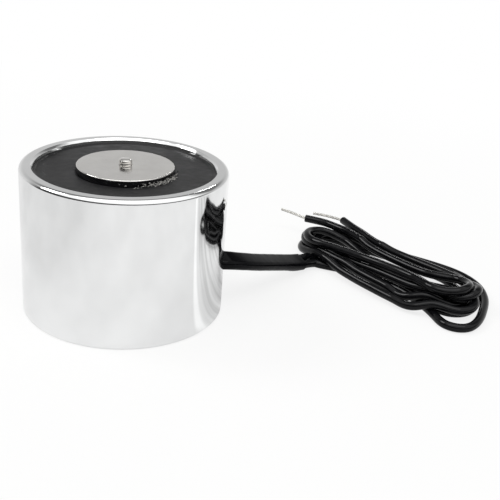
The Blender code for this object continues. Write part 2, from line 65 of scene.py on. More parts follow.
# Cup. RIM_FILLET is the CAD model's rounding of the rim, and RIM_ROUNDING the one seen in the photo
EDGE_STEP = 0.02 * MM           # how far points beside an edge stand off it, so that it is shaded crisply
EDGE_RUN = 0.03 * MM
CUP_STEPS = 288
CUP_WALL = 1.95 * MM
BORE_RADIUS = CUP_RADIUS - CUP_WALL
CUP_FLOOR = 4.0 * MM
RIM_FILLET = 0.4 * MM
RIM_ROUNDING = 0.68 * MM
RIM_INNER_CHAMFER = 0.28 * MM
RIM_EDGE_DROP = 0.035 * MM
RIM_WAVES = [(0.05 * MM, 3.0), (0.035 * MM, 14.0)]      # height, and how often it changes round the rim
BASE_CHAMFER = 0.3 * MM
BORE_CORNER_RADIUS = 0.35 * MM
SPIGOT_RADIUS = 5.0 * MM
SPIGOT_FIT = 0.03 * MM
HOLE_AZIMUTH = math.radians(6.0)
HOLE_HEIGHT = 7.4 * MM
HOLE_RADIUS = 2.05 * MM
HOLE_SIDES = 64

# Pole core and pin
CORE_STEPS = 192
POLE_CHAMFER = 0.12 * MM
# The pole's side is painted dark, as painted shade and a painted reflection of the black resin; this margin is how
# far in from the side and below the chamfer that starts
PAINTED_SHADE_MARGIN = 0.03 * MM
SPIGOT_CHAMFER = 0.2 * MM
SEAT_GAP = 0.05 * MM
HOLE_THREAD_RADIUS = 1.65 * MM
HOLE_THREAD_DEPTH = 8.0 * MM
HOLE_THREAD_PITCH = 0.7 * MM
HOLE_THREAD_CUT = 0.3 * MM
HOLE_THREAD_DIVISIONS = 8
HOLE_COUNTERSINK = 0.4 * MM
DRILL_POINT = 0.6
PIN_STEPS = 72
PIN_SEAT_DEPTH = 3.5 * MM
PIN_FIT = 0.03 * MM
PIN_PITCH = 0.42 * MM
PIN_THREAD_DEPTH = 0.02 * MM
PIN_THREAD_DIVISIONS = 14
PIN_THREAD_START = 0.25 * MM
PIN_CHAMFER = 0.15 * MM

# Winding
MAGNET_WIRE_DIAMETER = 0.22 * MM

# Potting resin
RESIN_RECESS = 0.9 * MM
RESIN_CAP = 1.2 * MM
RESIN_GAP = 0.05 * MM
RESIN_PROFILE_STEPS = 60
RESIN_WAVES = [(0.03 * MM, 3.5 * MM), (0.012 * MM, 0.9 * MM)]       # height and length
RESIN_WAVE_REACH = 0.1 * MM
MENISCUS_RISE = 0.22 * MM
MENISCUS_WIDTH = 0.5 * MM
POLE_SINK = 0.12 * MM
POUR_AZIMUTH = -35.0            # in degrees, the side on which it was poured
POUR_SPREAD = 32.0
LUMP_HEIGHT = 0.34 * MM
LUMP_WIDTH = 0.42 * MM
BEAD_COUNT = 190
BEAD_SEED = 7
BEAD_AZIMUTHS = (-36.0, 16.0)   # middle and spread, in degrees
BEAD_SIZES = (0.08, 0.16)       # in millimetres, as are the gaps
BEAD_GAPS = (0.02, 0.55)
BEAD_CLIMB = 0.55 * MM
BEAD_CLIMB_WIDTH = 0.7 * MM
PLUG_SIDES = 48
PLUG_RECESS = 0.25 * MM
PLUG_REACH = 1.0 * MM
PLUG_DISH = 0.12 * MM
PLUG_EDGE = 0.05 * MM
PLUG_FLATNESS = 3
PLUG_SLEEVE_FIT = 0.02 * MM
PLUG_HOLE_FIT = 0.03 * MM

# Leads and their sleeve, with the routes of the CAD model in millimetres
LEAD_RADIUS = 0.7 * MM
LEAD_OFFSET = 0.72 * MM
SLEEVE_TILT = math.radians(25.0)
SLEEVE_INNER_REACH = 2.2 * MM
SLEEVE_CLEARANCE = 0.04 * MM
SLEEVE_WALL = 0.15 * MM
SLEEVE_LINE_SPACING = 1.0       # in millimetres, as is the spacing from ring to ring
SLEEVE_SPACING = 0.4
SLEEVE_FLATNESS = 6
SLEEVE_SIDES = 40
SLEEVE_WAIST = (0.045 * MM, 0.45 * MM)                      # depth and width
SHRINK_MARKS = [(1.0, 1.3 * MM), (0.5, 0.5 * MM)]           # strength and size
SHRINK_MARK_DEPTH = 0.02 * MM
SWELL_HEIGHT = 0.2 * MM
SWELL_PLACE = 7                 # in rings from the outer end
SWELL_WIDTH = 3.5
INNER_A_ROUTE = [(8.91, 7.41, 8.9), (10.3, 5.97, 8.9), (10.83, 4.04, 8.53), (11.39, 2.72, 8.08),
                 (12.29, 2.09, 7.67)]
INNER_B_ROUTE = [(10.26, -5.39, 6.6), (11.32, -3.7, 6.6), (11.43, -1.7, 6.75), (11.82, -0.13, 6.99),
                 (12.46, 0.51, 7.11)]
SLEEVE_ROUTE = [(17.4, 3.2, 6.7), (20.0, 6.2, 5.4), (23.3, 10.7, 3.6), (26.1, 14.3, 2.2), (27.6, 16.0, 1.65)]
LEAD_A_ROUTE = [(28.3, 17.75, 1.7), (29.85, 19.25, 1.4)]
LEAD_B_ROUTE = [(29.6, 16.95, 1.1), (31.35, 17.55, 0.9)]
LEAD_A_END_ROUTE = [(29.1, 32.8, 3.2), (30.9, 32.1, 3.2), (32.7, 31.2, 3.2), (34.7, 29.5, 3.2),
                    (36.9, 27.0, 3.3), (38.8, 24.1, 3.3)]
LEAD_B_END_ROUTE = [(36.2, 33.2, 3.2), (37.7, 30.1, 3.2), (39.3, 27.3, 3.2), (40.7, 24.5, 3.2),
                    (42.3, 22.1, 3.3)]
CONDUCTOR_A_ROUTE = [(29.1, 32.8, 3.2), (26.7, 34.2, 3.5), (24.5, 34.9, 3.9)]
CONDUCTOR_B_ROUTE = [(36.2, 33.2, 3.2), (33.2, 34.4, 3.4), (30.6, 35.0, 3.5)]

# Hank: its own frame lies along it, and a place in it is (along, across, height) in millimetres
HANK_CENTRE = (43.0, 14.6)
HANK_AZIMUTH = math.radians(-47.0)
STRAND_SPACING = 0.7
STRAND_RADIUS = 0.7
FOLD_STEPS = 6
FOLD_DEPTH = 1.15

# How the strands settle: lengths in millimetres, reaches in points along a strand
LEAST_BEND = 3.6                # the radius that a bend is held to
BEND_REACH = 3
BEND_PUSH = 0.15
SHAPE_REACHES = (1, 3, 7, 14)
SHAPE_PULL = 0.6
CONTACT_MARGIN = 1.0
CONTACT_ROUNDS = 15             # rounds from one search for contacts to the next
CONTACT_SHARES = (0.5, 0.5, 1.5)
PASSES = 4
CARRIED_MOTION = 0.9            # the share of a round's motion that is kept in the next
CARRIED_IN_PLAN = 0.4
FASTEST = 0.15
INNER_BEND_POINTS = 22
EASING_ROUNDS = 5
LEAD_IN = 0.5                   # how far before the hank a strand is free to move
SINKING_ROUNDS, QUICK_SINKING_ROUNDS = 500, 150
PRESSING_ROUNDS, QUICK_PRESSING_ROUNDS = 250, 40
RESTING_ROUNDS = 40
SINKING = {"stiffness": 0.6, "fall": 0.03, "flatness": 0.15, "lift": 0.2}
PRESSING = {"stiffness": 0.4, "fall": 0.01, "flatness": 1.0, "lift": 0.1}
RESTING = {"stiffness": 0.1, "fall": 0.0, "flatness": 1.0, "lift": 0.1}

# Stripped ends
STRAND_COUNT = 7
FINE_STRAND_RADIUS = 0.085 * MM
TWIST_RADIUS = 0.17 * MM
TWIST_PITCH = 6.0 * MM
ROUTE_SPACING = 0.3             # in millimetres, as is the fine spacing
FINE_SPACING = 0.25

# Lamps: name, place, target, size, power in watts, roll in degrees
LAMPS = [
    ("left_key", (-0.50, 0.08, 0.50), (0.04, 0.015, 0.0), (0.22, 0.30), 1.45, 39.0),
    ("back_strip", (0.07, 0.53, 0.33), (0.03, 0.01, 0.0), (0.08, 0.025), 0.10, 0.0),
    ("top_softbox", (0.02, -0.16, 0.55), (0.02, 0.0, 0.01), (0.70, 0.30), 1.5, 0.0),
]

# World: what mirrors see of it, as grey levels by height, in front of and behind the object
SKY_TILT = (0.15, 0.0, 1.0)
FRONT_SKY = [(0.0, 0.05), (0.33, 0.08), (0.46, 1.25), (1.0, 1.25)]
BACK_SKY = [(0.0, 0.78), (0.22, 0.66), (0.40, 0.54), (0.58, 0.20), (0.80, 0.16), (0.88, 1.25)]
BACK_SKY_FROM = 0.05
BACK_SKY_FULL = 0.45
AMBIENT = (0.56, 0.56, 0.56)
WHITE = (1.0, 1.0, 1.0)

# Floor: a white sweep, and its whiteness as mirrors see it, with painted shade and a painted highlight strip
SWEEP_SIZE = 4.0
SWEEP_COLOUR = (0.86, 0.86, 0.85)
SWEEP_NEAR = 0.05
SWEEP_FAR = 0.17
SWEEP_GLOW_NEAR = 0.80
MIRRORED_GLOW = 1.12
MIRRORED_GLOW_SHARE = 0.4
CLOUD_SIZE = 1.0 / 45.0
CLOUD_RANGE = (0.3, 0.7)
CLOUD_LEVELS = (0.86, 0.92)
# Painted shade beside the leads, in streaks, that only mirrors show
STREAK_SIZE = 1.0 / 330.0
STREAK_STRETCH = (0.08, 1.0, 1.0)
STREAK_DEPTH = 0.24
STREAK_RANGE = (0.35, 0.65)
# Painted shade: the sweep darker on the left, as mirrors see it
LEFT_SHADE = -0.13
LEFT_SHADE_X = (-40 * MM, -10 * MM)
# Right of this, the painted shade beside the leads and the painted highlight strip lie on the sweep
RIGHT_X = (11 * MM, 15 * MM)
SHADE_FRONT_Y = (-6.3 * MM, -4.5 * MM)
SHADE_BACK_Y = (14 * MM, 24 * MM)
# A painted highlight: a bright strip along the sweep that only mirrors show, with its place, widths and lift
HIGHLIGHT_STRIP_Y = -7.7 * MM
HIGHLIGHT_STRIP_WIDTH = (0.5 * MM, 1.6 * MM)
HIGHLIGHT_STRIP_LIFT = 0.24


def catmull(points, spacing):
    """A smooth curve through the points, sampled more closely than spacing."""
    points = [np.array(point, float) for point in points]
    ends = [2 * points[0] - points[1]] + points + [2 * points[-1] - points[-2]]
    route = [points[0]]
    for before, start, end, after in zip(ends, ends[1:], ends[2:], ends[3:]):
        pieces = max(2, round(2 * float(np.linalg.norm(end - start)) / spacing))
        for step in range(1, pieces + 1):
            t = step / pieces
            route.append(0.5 * (2 * start + (end - before) * t
                                + (2 * before - 5 * start + 4 * end - after) * t ** 2
                                + (3 * start - before - 3 * end + after) * t ** 3))
    return np.array(route)


def path_length(path):
    return float(np.linalg.norm(np.diff(path, axis=0), axis=1).sum())


def evenly(path, spacing):
    """The same path with its points an even distance apart."""
    travelled = np.concatenate([[0.0], np.cumsum(np.linalg.norm(np.diff(path, axis=0), axis=1))])
    wanted = np.linspace(0.0, travelled[-1], round(travelled[-1] / spacing) + 1)
    return np.stack([np.interp(wanted, travelled, path[:, axis]) for axis in range(3)], axis=1)


def directions(path):
    ahead = np.vstack([path[1:], path[-1:]])
    behind = np.vstack([path[:1], path[:-1]])
    way = ahead - behind
    return way / np.linalg.norm(way, axis=1)[:, None]


def ring_point(radius, height):
    """A point on the lead hole's radius, in millimetres."""
    return (radius * math.cos(HOLE_AZIMUTH) / MM, radius * math.sin(HOLE_AZIMUTH) / MM, height / MM)


def pair_frame(way):
    """Unit vectors across the pair of leads, towards lead a, and square to it and the way they run."""
    left = np.cross((0.0, 0.0, 1.0), way)
    left /= np.linalg.norm(left)
    up = np.cross(way, left)
    across = math.cos(SLEEVE_TILT) * left + math.sin(SLEEVE_TILT) * up
    return across, np.cross(way, across)


def sleeve_line():
    """The sleeve's centre line in millimetres, as in the CAD model."""
    mouth = [ring_point(CUP_RADIUS - SLEEVE_INNER_REACH, HOLE_HEIGHT),
             ring_point(CUP_RADIUS - SLEEVE_INNER_REACH / 2, HOLE_HEIGHT),
             ring_point(CUP_RADIUS + RIM_FILLET, HOLE_HEIGHT)]
    return catmull(mouth + SLEEVE_ROUTE, SLEEVE_LINE_SPACING)


def in_hank(along, across, height):
    """A place in the hank's frame, as a point of the model in millimetres."""
    turn, lean = math.cos(HANK_AZIMUTH), math.sin(HANK_AZIMUTH)
    return (HANK_CENTRE[0] + along * turn - across * lean, HANK_CENTRE[1] + along * lean + across * turn, height)


def fold(reach, enter, leave, start_height, end_height):
    """A half turn at one end of the hank, with its tip at reach."""
    side = 1 if reach > 0 else -1
    radius = (leave - enter) / 2
    depth = FOLD_DEPTH * abs(radius)
    points = []
    for step in range(FOLD_STEPS + 1):
        angle = math.pi * step / FOLD_STEPS
        points.append((reach - side * depth * (1 - math.sin(angle)), enter + radius * (1 - math.cos(angle)),
                       start_height + (end_height - start_height) * step / FOLD_STEPS))
    return points


def lead_a_turns():
    points = [(-9.5, -4.0, 0.8), (-4, -1.2, 0.8), (2, -0.8, 0.8), (8, -1.8, 0.8)]
    points += [(11.7, -3.5, 0.8), (14.3, -3.2, 0.9), (15.9, -1.0, 1.0), (15.6, 2.2, 1.0), (13.8, 5.6, 0.9)]
    points += [(10, 8.4, 0.8), (5.4, 9.2, 0.8), (0, 8.0, 0.8), (-6, 6.2, 1.0)]
    points += fold(-18.2, 4.8, -4.6, 1.8, 3.0)
    points += [(-8, -5.0, 2.6), (-1, -5.4, 1.0), (6, -5.4, 0.9), (10.5, -4.8, 1.6)]
    points += fold(15.9, -3.2, 5.0, 3.0, 2.6)
    points += [(6, 3.8, 1.4), (0, 2.6, 1.0), (-6, 2.8, 1.2), (-11, 3.8, 2.0)]
    points += fold(-18.4, 4.2, -3.8, 3.0, 3.8)
    points += [(-6, -2.2, 3.0), (0, -1.6, 2.0), (6, -1.3, 2.0)]
    points += fold(14.6, -2.4, 4.8, 3.8, 4.4)
    points += [(6, 3.0, 3.6), (0, 2.8, 3.6), (-6.3, 3.0, 3.3)]
    return [in_hank(*point) for point in points]


def lead_b_turns():
    points = [(-6.5, -4.2, 0.75), (-1, -2.4, 0.75), (5, -2.2, 0.7)]
    points += [(10.2, -3.4, 0.7), (13.4, -5.2, 0.7), (16.1, -6.1, 0.7), (17.9, -4.5, 0.7), (17.6, -1.2, 0.7)]
    points += [(16.0, 2.2, 0.7), (14.2, 5.1, 0.7), (12.2, 7.7, 0.7), (9.2, 9.8, 0.7), (5.0, 10.6, 0.7)]
    points += [(0, 9.6, 0.7), (-6, 7.6, 0.8), (-11, 6.4, 1.0)]
    points += fold(-18.4, 5.4, -4.4, 2.2, 2.8)
    points += [(-8, -4.4, 2.0), (-1, -4.4, 0.8), (5.5, -4.4, 0.8), (10, -4.2, 1.4)]
    points += fold(15.2, -3.2, 6.0, 2.2, 1.6)
    points += [(6, 7.4, 1.0), (0, 6.2, 1.0), (-6, 4.8, 1.2)]
    points += fold(-17.8, 4.4, -4.0, 2.4, 3.4)
    points += [(-7, -3.8, 2.8), (0, -3.7, 2.0), (7, -3.4, 2.2)]
    points += fold(15.2, -2.4, 4.8, 3.4, 3.6)
    points += [(6, 4.9, 3.9), (0, 4.8, 3.8)]
    return [in_hank(*point) for point in points]


class Strands:
    """Paths that sink onto the floor and each other, each keeping its length, shape and thickness."""

    def __init__(self, paths, held, stiffness, flatness, lift):
        counts = [len(path) for path in paths]
        ends = np.concatenate([[0], np.cumsum(counts)])
        self.stretches = list(zip(ends, ends[1:]))
        self.places = np.concatenate(paths).copy()
        self.held = np.concatenate(held)
        self.free = (~self.held).astype(float)
        self.owner = np.repeat(np.arange(len(paths)), counts)
        self.index = np.concatenate([np.arange(count) for count in counts])
        self.keeping = np.array((stiffness, stiffness, stiffness * lift))

        self.links = np.concatenate([np.arange(start, end - 1) for start, end in self.stretches])
        self.link_lengths = np.linalg.norm(self.places[self.links + 1] - self.places[self.links], axis=1)
        self.bent = self.with_neighbours(BEND_REACH)
        self.least_chord = 2 * LEAST_BEND * math.sin(BEND_REACH * STRAND_SPACING / LEAST_BEND)
        flattened = self.places * (1.0, 1.0, flatness)
        self.shapes = []
        for reach in SHAPE_REACHES:
            found = self.with_neighbours(reach)
            bow = flattened[found] - (flattened[found - reach] + flattened[found + reach]) / 2
            self.shapes.append((reach, found, bow))

    def with_neighbours(self, reach):
        """The points that have another point of their path so many places before and after them."""
        return np.concatenate([np.arange(start + reach, end - reach) for start, end in self.stretches])

    def find_close_pairs(self):
        apart = ((self.places[:, None, :] - self.places[None, :, :]) ** 2).sum(axis=2)
        close = apart < (2 * STRAND_RADIUS + CONTACT_MARGIN) ** 2
        skip = math.ceil(2 * STRAND_RADIUS / STRAND_SPACING) + 2
        same_path = self.owner[:, None] == self.owner[None, :]
        close &= ~(same_path & (np.abs(self.index[:, None] - self.index[None, :]) <= skip))
        self.left, self.right = np.nonzero(np.triu(close, 1))

    def keep_lengths(self):
        for parity in (0, 1):
            first = self.links[parity::2]
            gap = self.places[first + 1] - self.places[first]
            length = np.linalg.norm(gap, axis=1)
            share = np.maximum(self.free[first] + self.free[first + 1], 1.0)
            pull = ((length - self.link_lengths[parity::2]) / length / share)[:, None] * gap
            self.places[first] += self.free[first][:, None] * pull
            self.places[first + 1] -= self.free[first + 1][:, None] * pull

    def keep_shapes(self):
        for reach, found, bow in self.shapes:
            middle = (self.places[found - reach] + self.places[found + reach]) / 2
            pull = self.keeping * (middle + bow - self.places[found])
            change = np.zeros_like(self.places)
            np.add.at(change, found, 0.5 * pull)
            np.add.at(change, found - reach, -0.25 * pull)
            np.add.at(change, found + reach, -0.25 * pull)
            self.places += SHAPE_PULL * change * self.free[:, None]

    def limit_bends(self):
        gap = self.places[self.bent + BEND_REACH] - self.places[self.bent - BEND_REACH]
        length = np.linalg.norm(gap, axis=1)
        push = (np.maximum(0.0, self.least_chord - length) / length)[:, None] * gap
        change = np.zeros_like(self.places)
        np.add.at(change, self.bent + BEND_REACH, BEND_PUSH * push)
        np.add.at(change, self.bent - BEND_REACH, -BEND_PUSH * push)
        self.places += change * self.free[:, None]

    def push_apart(self):
        gap = self.places[self.right] - self.places[self.left]
        length = np.linalg.norm(gap, axis=1) + 1e-9
        touching = length < 2 * STRAND_RADIUS
        one, other = self.left[touching], self.right[touching]
        share = np.maximum(self.free[one] + self.free[other], 1.0)
        push = ((length[touching] - 2 * STRAND_RADIUS) / length[touching] / share)[:, None] * gap[touching]
        change = np.zeros_like(self.places)
        met = np.zeros(len(self.places))
        np.add.at(change, one, push * self.free[one][:, None])
        np.add.at(change, other, -push * self.free[other][:, None])
        np.add.at(met, one, 1)
        np.add.at(met, other, 1)
        self.places += change / np.maximum(met * 0.5, 1)[:, None] * CONTACT_SHARES
        self.places[:, 2] = np.maximum(self.places[:, 2], STRAND_RADIUS)

    def settle(self, rounds, fall):
        motion = np.zeros_like(self.places)
        for turn in range(rounds):
            if turn % CONTACT_ROUNDS == 0:
                self.find_close_pairs()
            before = self.places.copy()
            self.places += CARRIED_MOTION * motion * self.free[:, None]
            self.places[:, 2] -= fall * self.free
            for _ in range(PASSES):
                self.keep_lengths()
                self.keep_shapes()
                self.limit_bends()
                self.push_apart()
            self.places[self.held] = before[self.held]
            motion = self.places - before
            motion[:, :2] *= CARRIED_IN_PLAN
            speed = np.linalg.norm(motion, axis=1)
            motion *= np.minimum(1.0, FASTEST / np.maximum(speed, 1e-9))[:, None]
        return [self.places[start:end] for start, end in self.stretches]


def settle(paths, held, rounds, stiffness, fall, flatness, lift):
    """The paths after they have sunk for so many rounds. lift is how stiff they are in height, next to in plan."""
    return Strands(paths, held, stiffness, flatness, lift).settle(rounds, fall)


def smoothed(path, held, rounds):
    """Takes the small steps out of a settled path, apart from its held points."""
    path = path.copy()
    for _ in range(rounds):
        middle = (path[:-2] + path[2:]) / 2
        move = 0.5 * (middle - path[1:-1])
        move[held[1:-1]] = 0.0
        path[1:-1] += move
    return path


def eased(path):
    """Widens the bend that a lead makes inside the cup, on its way into the sleeve."""
    path = path.copy()
    inside = slice(1, INNER_BEND_POINTS)
    for _ in range(EASING_ROUNDS):
        path[inside] += 0.25 * (path[:INNER_BEND_POINTS - 1] - 2 * path[inside] + path[2:INNER_BEND_POINTS + 1])
    return path


def lead_paths():
    """Both leads from their joints in the cup to their stripped ends, in millimetres."""
    line = sleeve_line()
    ways = directions(line)
    paths = []
    held = []
    for side, inner, outer, turns, end in (
            (1, INNER_A_ROUTE, LEAD_A_ROUTE, lead_a_turns(), LEAD_A_END_ROUTE),
            (-1, INNER_B_ROUTE, LEAD_B_ROUTE, lead_b_turns(), LEAD_B_END_ROUTE)):
        in_sleeve = [point + side * LEAD_OFFSET / MM * pair_frame(way)[0] for point, way in zip(line, ways)]
        first = catmull(inner + in_sleeve[:2], STRAND_SPACING)
        last = catmull(in_sleeve[-2:] + outer + turns + end[::-1], STRAND_SPACING)
        path = evenly(np.vstack([first[:-1], in_sleeve[1:-1], last[1:]]), STRAND_SPACING)
        sleeve_end = path_length(np.vstack([first[:-1], in_sleeve[1:]]))
        hank_start = sleeve_end + path_length(np.array([in_sleeve[-1]] + outer))
        hank_end = path_length(path) - path_length(np.array(end))
        travelled = STRAND_SPACING * np.arange(len(path))
        paths.append(path)
        held.append((travelled < hank_start - LEAD_IN) | (travelled > hank_end))
    paths = settle(paths, held, SINKING_ROUNDS, **SINKING)
    paths = settle(paths, held, PRESSING_ROUNDS, **PRESSING)
    paths = [smoothed(path, fixed, rounds=4) for path, fixed in zip(paths, held)]
    paths = settle(paths, held, RESTING_ROUNDS, **RESTING)
    paths = [smoothed(eased(path), fixed, rounds=2) for path, fixed in zip(paths, held)]
    return [catmull(path, STRAND_SPACING) for path in paths]


def ridden(piece, slot, *nodes):
    """Puts the piece on the body, in place of its CAD nodes."""
    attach(piece, "root")
    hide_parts(*nodes)
    return piece


def add_object(name, data):
    made = bpy.data.objects.new(name, data)
    bpy.context.scene.collection.objects.link(made)
    return made


def curve_piece(name, paths, radius, material, sides=6):
    """A round cord or wire along each path, in metres, with closed ends."""
    curve = bpy.data.curves.new(name, "CURVE")
    curve.dimensions = "3D"
    curve.bevel_depth = radius
    curve.bevel_resolution = sides
    curve.use_fill_caps = True
    for path in paths:
        spline = curve.splines.new("POLY")
        spline.points.add(len(path) - 1)
        for place, point in zip(spline.points, path):
            place.co = (*point, 1.0)
        spline.use_smooth = True
    curve.materials.append(material)
    return add_object(name, curve)


def mesh_from_rings(name, rings, material, closed_around=True):
    """Quads between rings of points, one ring after another and from the last to the first."""
    shape = bmesh.new()
    corners = [[shape.verts.new(point) for point in ring] for ring in rings]
    for near, far in zip(corners, corners[1:] + corners[:1]):
        around = len(near) if closed_around else len(near) - 1
        for spot in range(around):
            after = (spot + 1) % len(near)
            shape.faces.new((near[spot], near[after], far[after], far[spot]))
    bmesh.ops.remove_doubles(shape, verts=shape.verts, dist=1e-7)
    bmesh.ops.recalc_face_normals(shape, faces=shape.faces)
    mesh = bpy.data.meshes.new(name)
    shape.to_mesh(mesh)
    shape.free()
    mesh.materials.append(material)
    mesh.shade_smooth()
    mesh.set_sharp_from_angle(angle=SHARP_ANGLE)
    return add_object(name, mesh)


def turned(name, profile, steps, material, closed=True, shift=None):
    """A profile of radius and height turned round Z. shift moves a point by (radius, height, angle)."""
    rings = []
    for step in range(steps):
        angle = 2 * math.pi * step / steps
        ring = []
        for radius, height in profile:
            if shift:
                radius, height = shift(radius, height, angle)
            ring.append((radius * math.cos(angle), radius * math.sin(angle), height))
        rings.append(ring)
    return mesh_from_rings(name, rings, material, closed_around=closed)


def arc(centre, radius, start, end, steps):
    """Points of an arc in a profile, from start to end in degrees, both included."""
    angles = [math.radians(start + (end - start) * step / steps) for step in range(steps + 1)]
    return [(centre[0] + radius * math.cos(angle), centre[1] + radius * math.sin(angle)) for angle in angles]


def cut_away(piece, cutter):
    """Cuts the cutter out of the piece, and removes the cutter."""
    boolean = piece.modifiers.new("cut", "BOOLEAN")
    boolean.solver = "EXACT"
    boolean.object = cutter
    bpy.context.view_layer.update()
    evaluated = piece.evaluated_get(bpy.context.evaluated_depsgraph_get())
    mesh = bpy.data.meshes.new_from_object(evaluated)
    piece.modifiers.clear()
    piece.data = mesh
    mesh.set_sharp_from_angle(angle=SHARP_ANGLE)
    bpy.data.objects.remove(cutter, do_unlink=True)


def hole_matrix(reach):
    """A frame on the lead hole's axis: X across the pair of leads, Z outwards."""
    outwards = np.array((math.cos(HOLE_AZIMUTH), math.sin(HOLE_AZIMUTH), 0.0))
    across, _ = pair_frame(outwards)
    rows = Matrix((across, np.cross(outwards, across), outwards))
    matrix = rows.transposed().to_4x4()
    matrix.translation = Vector(outwards) * reach + Vector((0.0, 0.0, HOLE_HEIGHT))
    return matrix


class Tree:
    """A node tree, with short calls for what the finishes, the world and the floor share."""

    def __init__(self, tree, coordinates="Object"):
        self.tree = tree
        self.place = self.add("ShaderNodeTexCoord").outputs[coordinates]

    def add(self, kind):
        return self.tree.nodes.new(kind)

    def link(self, value, socket):
        """A value is a socket, or else what the socket is set to, where a colour may leave out its alpha."""
        if isinstance(value, bpy.types.NodeSocket):
            self.tree.links.new(value, socket)
        elif socket.type == "RGBA":
            socket.default_value = (*value[:3], 1.0)
        else:
            socket.default_value = value

    def math(self, operation, first, second=0.0):
        node = self.add("ShaderNodeMath")
        node.operation = operation
        self.link(first, node.inputs[0])
        self.link(second, node.inputs[1])
        return node.outputs[0]

    def split(self):
        node = self.add("ShaderNodeSeparateXYZ")
        self.link(self.place, node.inputs[0])
        return node.outputs

    def noise(self, size, detail=3.0, stretch=(1.0, 1.0, 1.0)):
        """Noise with grains of about that size in metres, from 0 to 1."""
        mapping = self.add("ShaderNodeMapping")
        self.link(self.place, mapping.inputs["Vector"])
        mapping.inputs["Scale"].default_value = stretch
        node = self.add("ShaderNodeTexNoise")
        node.inputs["Scale"].default_value = 1.0 / size
        node.inputs["Detail"].default_value = detail
        self.link(mapping.outputs[0], node.inputs["Vector"])
        return node.outputs["Fac"]

    def span(self, value, low, high, start=0.3, end=0.7, curve="LINEAR"):
        """From low to high, as the value goes from start to end."""
        node = self.add("ShaderNodeMapRange")
        node.interpolation_type = curve
        self.link(value, node.inputs["Value"])
        node.inputs["From Min"].default_value = start
        node.inputs["From Max"].default_value = end
        node.inputs["To Min"].default_value = low
        node.inputs["To Max"].default_value = high
        return node.outputs["Result"]

    def blend(self, value, under, over):
        """Two colours, the second laid over the first by value."""
        node = self.add("ShaderNodeMix")
        node.data_type = "RGBA"
        self.link(value, node.inputs["Factor"])
        self.link(under, node.inputs[6])
        self.link(over, node.inputs[7])
        return node.outputs[2]

    def shader_of(self, kind, colour, strength=None):
        node = self.add(kind)
        self.link(colour, node.inputs["Color"])
        if strength is not None:
            node.inputs["Strength"].default_value = strength
        return node.outputs[0]

    def either(self, value, first, second):
        """The first shader where value is 0, and the second where it is 1."""
        node = self.add("ShaderNodeMixShader")
        self.link(value, node.inputs["Fac"])
        self.link(first, node.inputs[1])
        self.link(second, node.inputs[2])
        return node.outputs[0]

    def by_ray(self, camera, glossy, others):
        """A shader for each kind of ray."""
        path = self.add("ShaderNodeLightPath").outputs
        unseen = self.either(path["Is Glossy Ray"], others, glossy)
        return self.either(path["Is Camera Ray"], unseen, camera)


class Finish(Tree):
    """A material of a piece."""

    def __init__(self, name, colour, roughness, metallic=0.0):
        self.material = bpy.data.materials.new(name)
        self.material.use_nodes = True
        super().__init__(self.material.node_tree)
        self.shader = self.tree.nodes["Principled BSDF"]
        self.link(colour, self.shader.inputs["Base Color"])
        self.shader.inputs["Roughness"].default_value = roughness
        self.shader.inputs["Metallic"].default_value = metallic

    def colour(self, value, dark, light):
        self.link(self.blend(value, dark, light), self.shader.inputs["Base Color"])

    def roughness(self, value):
        self.link(value, self.shader.inputs["Roughness"])

    def bump(self, height, depth, normal=None):
        """Relief of that depth in metres, laid over the relief in normal if there is one."""
        node = self.add("ShaderNodeBump")
        node.inputs["Strength"].default_value = 1.0
        node.inputs["Distance"].default_value = depth
        self.link(height, node.inputs["Height"])
        if normal:
            self.link(normal, node.inputs["Normal"])
        return node.outputs["Normal"]

    def relief(self, normal):
        self.link(normal, self.shader.inputs["Normal"])


def chrome_finish():
    """Polished plate: fine turning lines, cloudy patches and a little haze."""
    made = Finish("chrome_plate", (0.80, 0.81, 0.82), 0.06, 1.0)
    cloud = made.noise(7.0 * MM, 3.0)
    made.colour(made.span(cloud, 0.0, 1.0), (0.785, 0.79, 0.79), (0.83, 0.835, 0.835))
    haze = made.noise(2.2 * MM, 4.0)
    made.roughness(made.span(haze, 0.03, 0.075))
    lines = made.noise(1.0 * MM, 2.0, (0.15, 0.15, 14.0))
    waves = made.noise(9.0 * MM, 1.0)
    made.relief(made.bump(waves, 0.010 * MM, made.bump(lines, 0.00012 * MM)))
    return made.material


def ground_finish():
    """Ground and plated steel: satin, slightly warm, with fine lapping marks; the pole's side is painted dark, as
    painted shade and a painted reflection of the black resin.
    """
    made = Finish("nickel_plate", (0.66, 0.64, 0.61), 0.2, 1.0)
    patches = made.noise(2.5 * MM, 4.0)
    plate = made.blend(made.span(patches, 0.0, 1.0), (0.70, 0.685, 0.66), (0.76, 0.745, 0.72))
    x, y, z = made.split()
    reach = made.math("SQRT", made.math("ADD", made.math("MULTIPLY", x, x), made.math("MULTIPLY", y, y)))
    side = made.math("GREATER_THAN", reach, POLE_RADIUS - PAINTED_SHADE_MARGIN)
    below = made.math("LESS_THAN", z, CUP_HEIGHT - POLE_CHAMFER - PAINTED_SHADE_MARGIN)
    # Painted shade and a painted reflection of the black resin: the pole's side, below its chamfer, is painted dark
    made.colour(made.math("MULTIPLY", side, below), plate, (0.06, 0.06, 0.065))
    grains = made.noise(0.12 * MM, 3.0)
    made.roughness(made.span(grains, 0.13, 0.22))
    made.relief(made.bump(grains, 0.0004 * MM))
    return made.material


